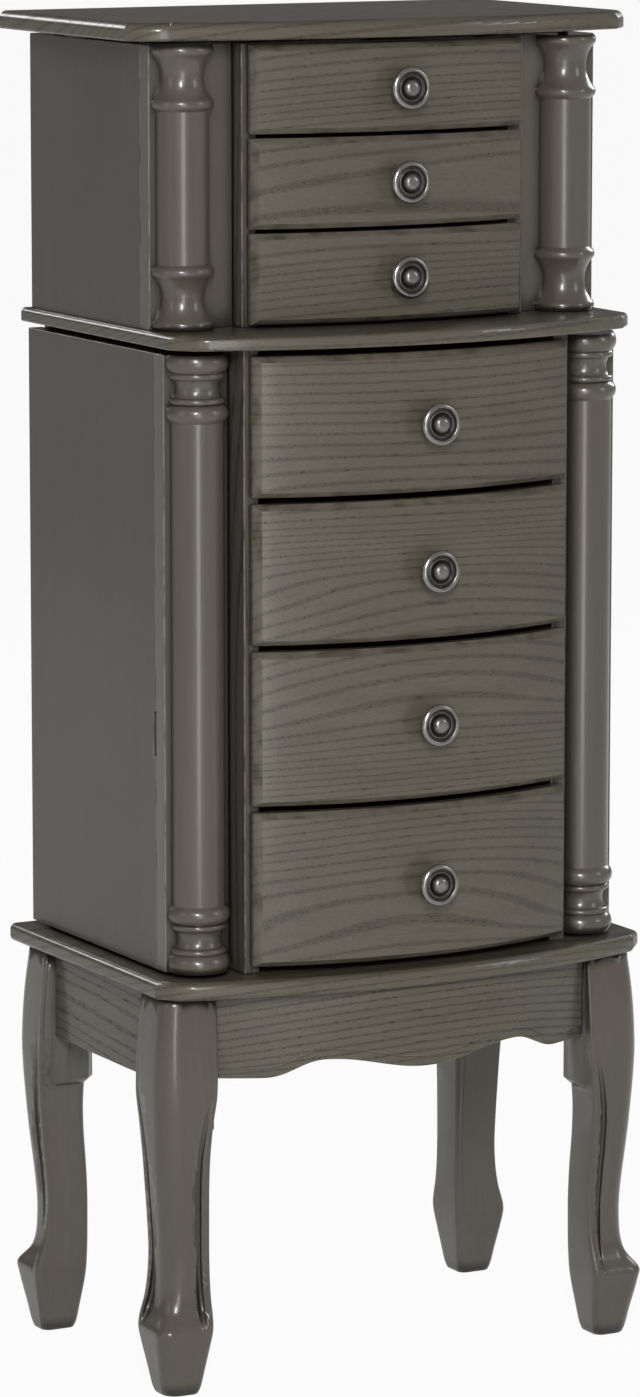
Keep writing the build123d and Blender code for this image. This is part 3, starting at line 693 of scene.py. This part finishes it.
# Turned ends of the columns: height share, middle radius share or none, end radius share
LOWER_CAPITAL = [
    (0.02, None, 0.90),
    (0.25, 1.00, 0.84),
    (0.10, 0.90, 0.78),
    (0.26, 0.70, 0.78),
    (0.10, 0.90, 0.86),
    (0.27, 1.00, 0.92),
]
UPPER_CAPITAL = [
    (0.03, None, 0.92),
    (0.16, 1.00, 0.93),
    (0.65, 0.70, 0.93),
    (0.16, 1.00, 0.92),
]
# Radius of the plain shaft, as a share of the widest
SHAFT_SHARE = 0.86
COLUMN_SEGMENTS = 40
COLUMN_ARC_STEPS = 9


def column_outline(radius, low, high, capital, height):
    """Radius and height along a column, from its foot to its head"""

    def end_points(start, way):
        strokes, level = [], start
        for share, middle, end in capital:
            after = level + way * share * height
            stroke_middle = None if middle is None else (middle * radius, (level + after) / 2)
            strokes.append((stroke_middle, (end * radius, after)))
            level = after
        return drawn((SHAFT_SHARE * radius, start), strokes, COLUMN_ARC_STEPS)

    return end_points(low + height, -1)[::-1] + end_points(high - height, 1)


def column(mesh, middle, front, radius, low, high, capital, height):
    """A half-round column that stands against the board at front"""
    outline = column_outline(radius, low, high, capital, height)

    def to_space(r, h, angle):
        return Vector((middle + r * math.cos(angle), front - r * math.sin(angle), h))

    turned(mesh, outline, COLUMN_SEGMENTS, to_space, half=True)


# Operators, one for each piece or group of like pieces


class ARMOIRE_OT_legs(bpy.types.Operator):
    """Finishes the four cabriole legs"""

    bl_idname = "armoire.legs"
    bl_label = "Legs"

    def execute(self, context):
        for node in ("leg_front_left", "leg_front_right", "leg_back_left", "leg_back_right"):
            smoothed(node, wood("upright", "Z"))
        return {"FINISHED"}


class ARMOIRE_OT_boards(bpy.types.Operator):
    """Finishes the base, waist and lid boards and the aprons"""

    bl_idname = "armoire.boards"
    bl_label = "Boards and aprons"

    def execute(self, context):
        width = context.scene.armoire_sizes.corner_round
        for node in ("base_board", "waist_board", "lid_board"):
            eased(node, width, wood("face", "X"))
        for node in ("front_apron", "back_apron"):
            eased(node, width, wood("apron", "X"))
        for node in ("side_apron_left", "side_apron_right"):
            eased(node, width, wood("apron", "Y"))
        return {"FINISHED"}


class ARMOIRE_OT_cases(bpy.types.Operator):
    """Finishes the case panels, partitions and door boards"""

    bl_idname = "armoire.cases"
    bl_label = "Cases and doors"

    def execute(self, context):
        width = context.scene.armoire_sizes.corner_round
        for node in ("lower_partitions", "upper_partitions"):
            eased(node, width, wood("rough", "Z"))
        # Side, back and door panels take the darker panel tones, painted shade
        panels = ("lower_back_panel", "upper_back_panel", "upper_sides")
        for node in (*panels, "door_left_panel", "door_right_panel"):
            eased(node, width, wood("panel", "Z"))
        for node in ("upper_stiles", "door_left_stile", "door_right_stile"):
            eased(node, width, wood("upright", "Z"))
        return {"FINISHED"}


class ARMOIRE_OT_columns(bpy.types.Operator):
    """Turns the half-round columns"""

    bl_idname = "armoire.columns"
    bl_label = "Columns"

    def execute(self, context):
        sizes = context.scene.armoire_sizes
        for node in ("door_left_column", "door_right_column", "upper_columns"):
            low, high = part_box(node)
            radius, front = high.y - low.y, high.y
            upper = node == "upper_columns"
            capital = UPPER_CAPITAL if upper else LOWER_CAPITAL
            height = sizes.upper_capital_height if upper else sizes.capital_height
            middles = (low.x + radius, high.x - radius) if upper else ((low.x + high.x) / 2,)
            mesh = bmesh.new()
            for middle in middles:
                column(mesh, middle, front, radius, low.z, high.z, capital, height)
            piece = finished(node, mesh, [wood("upright", "Z")])
            piece.data.set_sharp_from_angle(angle=CREASE_ANGLE)
        return {"FINISHED"}


# A drawer's bevel faces, by how much they look to the front, and how much painted highlight they
# take
BEVEL_FACES = (0.20, 0.93)
BEVEL_HIGHLIGHT = 0.55


class ARMOIRE_OT_drawers(bpy.types.Operator):
    """Finishes the drawer fronts, lined boxes and runners"""

    bl_idname = "armoire.drawers"
    bl_label = "Drawers"

    def execute(self, context):
        width = context.scene.armoire_sizes.corner_round
        felt = felt_lining()
        for drawer in DRAWERS:
            self.front(f"{drawer}_front", width)
            low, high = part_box(f"{drawer}_box")
            half_up = (low.z + high.z) / 2

            def on_floor(face, level=half_up):
                return face.normal.z > LEVEL_FACE and face.calc_center_median().z < level

            eased(f"{drawer}_box", width, wood("inner", "Y"), felt, lined=on_floor)
        for node in ("lower_runners", "upper_runners"):
            eased(node, width, wood("inner", "Y"))
        return {"FINISHED"}

    def front(self, node, width):
        """A drawer front whose bevelled frame takes a painted highlight, lighter than its face"""
        piece = eased(node, width, wood("face", "X"))
        edge_highlight = piece.data.attributes["edge_highlight"].data
        # Bevel faces take part of the painted highlight
        for face in piece.data.polygons:
            if BEVEL_FACES[0] < -face.normal.y < BEVEL_FACES[1]:
                edge_highlight[face.index].value = BEVEL_HIGHLIGHT


# Knob outline from foot to tip: middle and end of each round as shares of radius and reach,
# and how deep in a recess the end lies
KNOB_STROKES = [
    ((0.38, 0.12), (0.34, 0.28), 0.6),
    ((0.44, 0.52), (0.88, 0.66), 0.4),
    ((1.00, 0.78), (0.90, 0.90), 0.0),
    ((0.82, 0.91), (0.74, 0.80), 1.0),
    ((0.68, 0.77), (0.64, 0.80), 0.5),
    ((0.60, 0.84), (0.55, 0.78), 0.8),
    ((0.50, 0.72), (0.45, 0.76), 1.0),
    ((0.34, 0.94), (0.08, 1.00), 0.0),
]
KNOB_FOOT = 0.46
KNOB_FOOT_RECESS = 0.4
KNOB_SEGMENTS = 56
KNOB_ARC_STEPS = 8
SCREW_RADIUS = 0.0020
SCREW_HEAD_RADIUS = 0.0040
SCREW_HEAD_THICK = 0.0020


class ARMOIRE_OT_knobs(bpy.types.Operator):
    """Turns the seven ringed knobs with their screws"""

    bl_idname = "armoire.knobs"
    bl_label = "Knobs"

    def execute(self, context):
        tones = context.scene.armoire_finishes
        reach = context.scene.armoire_sizes.knob_reach
        pewter = metal("antique_pewter", tones.pewter, tones.patina, roughness=0.20)
        for drawer in DRAWERS:
            node = f"{drawer}_knob"
            low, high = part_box(node)
            radius, seat = (high.x - low.x) / 2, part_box(f"{drawer}_front")[0].y
            middle = Vector(((low.x + high.x) / 2, seat, (low.z + high.z) / 2))
            strokes = [
                tuple((wide * radius, out * reach) for wide, out in stroke[:2])
                for stroke in KNOB_STROKES
            ]
            outline = drawn((KNOB_FOOT * radius, 0.0), strokes, KNOB_ARC_STEPS)
            tail = seat - high.y
            head = tail + SCREW_HEAD_THICK
            screw = [
                (SCREW_HEAD_RADIUS, tail),
                (SCREW_HEAD_RADIUS, head),
                (SCREW_RADIUS, head),
                (SCREW_RADIUS, 0.0),
            ]

            def to_space(r, h, angle):
                return Vector((r * math.cos(angle), -h, r * math.sin(angle)))

            mesh = bmesh.new()
            recess = mesh.verts.layers.float.new("recess")
            rings = turned(mesh, outline, KNOB_SEGMENTS, to_space)
            depths = [KNOB_FOOT_RECESS]
            for *_, depth in KNOB_STROKES:
                first = depths[-1]
                for step in range(1, KNOB_ARC_STEPS + 1):
                    depths.append(first + (depth - first) * step / KNOB_ARC_STEPS)
            for ring, depth in zip(rings, depths):
                for vert in ring:
                    vert[recess] = depth
            turned(mesh, screw, KNOB_SEGMENTS, to_space)
            bmesh.ops.translate(mesh, verts=mesh.verts, vec=middle)
            piece = finished(node, mesh, [pewter])
            piece.data.set_sharp_from_angle(angle=CREASE_ANGLE)
        return {"FINISHED"}


class ARMOIRE_OT_fittings(bpy.types.Operator):
    """Finishes the hinges, necklace hooks and door magnets"""

    bl_idname = "armoire.fittings"
    bl_label = "Fittings"

    def execute(self, context):
        tones = context.scene.armoire_finishes
        width = context.scene.armoire_sizes.fitting_round
        brass = metal("antique_brass", tones.brass, tones.brass_tarnish, roughness=0.30)
        for node in ("door_hinge_leaves", "lid_hinge_leaves", "lid_hinge_flaps"):
            smoothed(node, brass)
        for side in ("left", "right"):
            smoothed(f"door_{side}_hinge_flaps", brass)
            smoothed(f"door_{side}_hooks", brass)
        eased("door_magnets", width, moulded("magnet_housing", tones.housing))
        return {"FINISHED"}


# Cushion: mesh steps, radius of a roll as a share of the pitch, its sag and the ripple of the sag
# in radians a metre, and how the pad falls away towards a roll's edge
CUSHION_STEPS_LONG = 132
CUSHION_STEPS_DEEP = 96
CUSHION_ROLL_SHARE = 0.53
CUSHION_SAG = 0.0006
CUSHION_RIPPLE_LONG = 130
CUSHION_RIPPLE_DEEP = 900
CUSHION_TUCK_START = 1.4
CUSHION_TUCK_RATE = 0.9


class ARMOIRE_OT_tray(bpy.types.Operator):
    """Finishes the tray under the lid: decks, rail, bumpers, mirror and stuffed ring cushion"""

    bl_idname = "armoire.tray"
    bl_label = "Tray, mirror and cushion"

    def execute(self, context):
        tones = context.scene.armoire_finishes
        sizes = context.scene.armoire_sizes
        felt = felt_lining()

        def on_top(face):
            return face.normal.z > LEVEL_FACE

        eased("tray_decks", sizes.fitting_round, wood("inner", "X"), felt, lined=on_top)
        eased("tray_rail", sizes.corner_round, wood("face", "X"))
        smoothed("lid_bumpers", felt)
        eased("lid_mirror", sizes.corner_round, silvered("silvered_glass", tones.silver))
        self.cushion(cloth("ring_velvet", tones.velvet, pile=1100, sheen=0.6), sizes)
        return {"FINISHED"}

    def cushion(self, velvet, sizes):
        """Stuffed rolls side by side, closed underneath"""
        low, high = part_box("ring_cushion")
        pitch = (high.y - low.y) / sizes.cushion_rolls
        radius = pitch * CUSHION_ROLL_SHARE
        pad = sizes.cushion_pad
        lines = [low.y + pitch * (i + HALF) for i in range(sizes.cushion_rolls)]

        def top(x, y):
            nearest = min(lines, key=lambda line: abs(line - y))
            past = max(abs(x) - (high.x - radius), 0.0)
            out = math.hypot(past, y - nearest)
            rise = math.sqrt(max(radius * radius - out * out, 0.0))
            ripple = 1 + math.sin(x * CUSHION_RIPPLE_LONG + nearest * CUSHION_RIPPLE_DEEP)
            sag = CUSHION_SAG * ripple * rise / radius
            tuck = min(1.0, CUSHION_TUCK_START - CUSHION_TUCK_RATE * out / radius)
            return low.z + pad * tuck + rise - sag

        mesh = bmesh.new()
        crown, foot = [], []
        deep = high.y - low.y
        across = [low.y + deep * j / CUSHION_STEPS_DEEP for j in range(CUSHION_STEPS_DEEP + 1)]
        for i in range(CUSHION_STEPS_LONG + 1):
            x = low.x + (high.x - low.x) * i / CUSHION_STEPS_LONG
            crown.append([mesh.verts.new((x, y, min(top(x, y), high.z))) for y in across])
            foot.append([mesh.verts.new((x, y, low.z)) for y in across])
        for i in range(CUSHION_STEPS_LONG):
            for j in range(CUSHION_STEPS_DEEP):
                mesh.faces.new((crown[i][j], crown[i + 1][j], crown[i + 1][j + 1], crown[i][j + 1]))
                mesh.faces.new((foot[i][j], foot[i][j + 1], foot[i + 1][j + 1], foot[i + 1][j]))
        for i in range(CUSHION_STEPS_LONG):
            mesh.faces.new((foot[i][0], foot[i + 1][0], crown[i + 1][0], crown[i][0]))
            mesh.faces.new((foot[i + 1][-1], foot[i][-1], crown[i][-1], crown[i + 1][-1]))
        for j in range(CUSHION_STEPS_DEEP):
            mesh.faces.new((foot[0][j + 1], foot[0][j], crown[0][j], crown[0][j + 1]))
            mesh.faces.new((foot[-1][j], foot[-1][j + 1], crown[-1][j + 1], crown[-1][j]))
        bmesh.ops.recalc_face_normals(mesh, faces=mesh.faces)
        piece = finished("ring_cushion", mesh, [velvet])


# Lamps: place, target, width, height, power
LAMPS = {
    "key_softbox": ((-1.8, -3.5, 2.2), (0.0, 0.0, 0.55), 0.45, 1.2, 92),
    "low_strip": ((-0.75, -2.07, 0.72), (0.0, 0.0, 0.62), 0.5, 1.4, 10),
    "left_softbox": ((-3.2, -0.8, 1.6), (0.0, 0.0, 0.5), 0.5, 1.6, 5),
    "right_softbox": ((2.6, -2.6, 1.8), (0.0, 0.0, 0.5), 0.5, 1.4, 13),
    "back_softbox": ((-1.4, 3.4, 2.6), (0.0, 0.0, 0.5), 1.2, 1.2, 36),
    "back_right_softbox": ((3.2, 1.4, 2.0), (0.0, 0.0, 0.5), 0.8, 1.4, 34),
}
# How bright the room is in reflections, in front and behind, and where the one turns into the other
GLOSS_SHARE = 0.40
GLOSS_BEHIND = 0.13
BEHIND_EDGE = (-0.1, 0.5)
# How much of the white ground is the floor's own glow
FLOOR_GLOW = 0.94
FLOOR_SEGMENTS = 96


class ARMOIRE_OT_stage(bpy.types.Operator):
    """Lays the floor and sets the lights and the camera"""

    bl_idname = "armoire.stage"
    bl_label = "Stage"

    def execute(self, context):
        scene, stage = context.scene, context.scene.armoire_stage
        scene.view_settings.view_transform = "Standard"
        self.camera(scene, stage)
        self.floor(scene, stage)
        self.room(scene, stage)
        for name, (place, target, width, height, power) in LAMPS.items():
            self.lamp(scene, name, Vector(place), Vector(target), width, height, power)
        return {"FINISHED"}

    def camera(self, scene, stage):
        """The camera that took the photograph"""
        camera = bpy.data.objects.new("photo_camera", bpy.data.cameras.new("photo_camera"))
        camera.data.lens = stage.lens
        camera.location = stage.camera_place
        camera.rotation_euler = (math.pi / 2 - stage.camera_pitch, 0, -stage.camera_yaw)
        scene.collection.objects.link(camera)
        scene.camera = camera

    def floor(self, scene, stage):
        """A wide pale disc that glows where it is seen and takes shadows"""
        mesh = bmesh.new()
        bmesh.ops.create_circle(
            mesh, cap_ends=True, segments=FLOOR_SEGMENTS, radius=stage.floor_reach
        )
        data = bpy.data.meshes.new("floor")
        mesh.to_mesh(data)
        mesh.free()
        floor = bpy.data.objects.new("floor", data)
        scene.collection.objects.link(floor)
        material = bpy.data.materials.new("pale_floor")
        material.use_nodes = True
        web = Web(material.node_tree)
        matte = web.add("ShaderNodeBsdfDiffuse", {}, {"Color": rgba(stage.floor_tone)})
        glow = web.add("ShaderNodeEmission", {}, {"Color": WHITE, "Strength": 1.0})
        share = self.seen(web, GLOSS_SHARE) * FLOOR_GLOW
        mixed = web.add("ShaderNodeMixShader", {}, {0: share, 1: matte, 2: glow})
        web.add("ShaderNodeOutputMaterial", {}, {"Surface": mixed})
        data.materials.append(material)

    def seen(self, web, gloss):
        """1 where the ground is seen directly or through glass, and gloss where it is reflected"""
        direct, glossy, through = (
            web.add("ShaderNodeLightPath", out=f"Is {kind} Ray")
            for kind in ("Camera", "Glossy", "Transmission")
        )
        return direct.larger(glossy * gloss).larger(through)

    def room(self, scene, stage):
        """Even light, with a pale front for reflections and a dark card behind"""
        scene.world = bpy.data.worlds.new("pale_room")
        scene.world.use_nodes = True
        web = Web(scene.world.node_tree)
        way = web.add("ShaderNodeTexCoord", out="Generated")
        ahead = web.add("ShaderNodeSeparateXYZ", {}, {"Vector": way}, out="Y")
        gloss = GLOSS_SHARE - ahead.step(*BEHIND_EDGE) * (GLOSS_SHARE - GLOSS_BEHIND)
        glossy = web.add("ShaderNodeLightPath", out="Is Glossy Ray")
        strength = (stage.room_light * (1 - glossy)).larger(self.seen(web, gloss))
        sky = web.add("ShaderNodeBackground", {}, {"Color": WHITE, "Strength": strength})
        web.add("ShaderNodeOutputWorld", {}, {"Surface": sky})

    def lamp(self, scene, name, place, target, width, height, power):
        """An oblong softbox that looks at a target"""
        data = bpy.data.lights.new(name, "AREA")
        data.shape = "RECTANGLE"
        data.size, data.size_y = width, height
        data.energy = power
        lamp = bpy.data.objects.new(name, data)
        lamp.location = place
        lamp.rotation_euler = (target - place).to_track_quat("-Z", "Y").to_euler()
        scene.collection.objects.link(lamp)


class ARMOIRE_PT_panel(bpy.types.Panel):
    """Lists the armoire's pieces"""

    bl_idname = "ARMOIRE_PT_panel"
    bl_label = "Jewelry Armoire"
    bl_space_type = "VIEW_3D"
    bl_region_type = "UI"
    bl_category = "Armoire"

    def draw(self, context):
        for operator in OPERATORS:
            self.layout.operator(operator.bl_idname)
        for group in GROUPS:
            box = self.layout.box()
            for name in GROUPS[group].__annotations__:
                box.prop(getattr(context.scene, group), name)


GROUPS = {
    "armoire_finishes": ArmoireFinishes,
    "armoire_sizes": ArmoireSizes,
    "armoire_stage": ArmoireStage,
}
OPERATORS = (
    ARMOIRE_OT_legs,
    ARMOIRE_OT_boards,
    ARMOIRE_OT_cases,
    ARMOIRE_OT_columns,
    ARMOIRE_OT_drawers,
    ARMOIRE_OT_knobs,
    ARMOIRE_OT_fittings,
    ARMOIRE_OT_tray,
    ARMOIRE_OT_stage,
)


def register():
    for cls in (*GROUPS.values(), *OPERATORS, ARMOIRE_PT_panel):
        bpy.utils.register_class(cls)
    for name, group in GROUPS.items():
        setattr(bpy.types.Scene, name, bpy.props.PointerProperty(type=group))


def unregister():
    for name in GROUPS:
        delattr(bpy.types.Scene, name)
    for cls in (ARMOIRE_PT_panel, *reversed(OPERATORS), *GROUPS.values()):
        bpy.utils.unregister_class(cls)


def main():
    register()
    for operator in OPERATORS:
        group, call = operator.bl_idname.split(".")
        getattr(getattr(bpy.ops, group), call)()


if __name__ == "__main__":
    main()
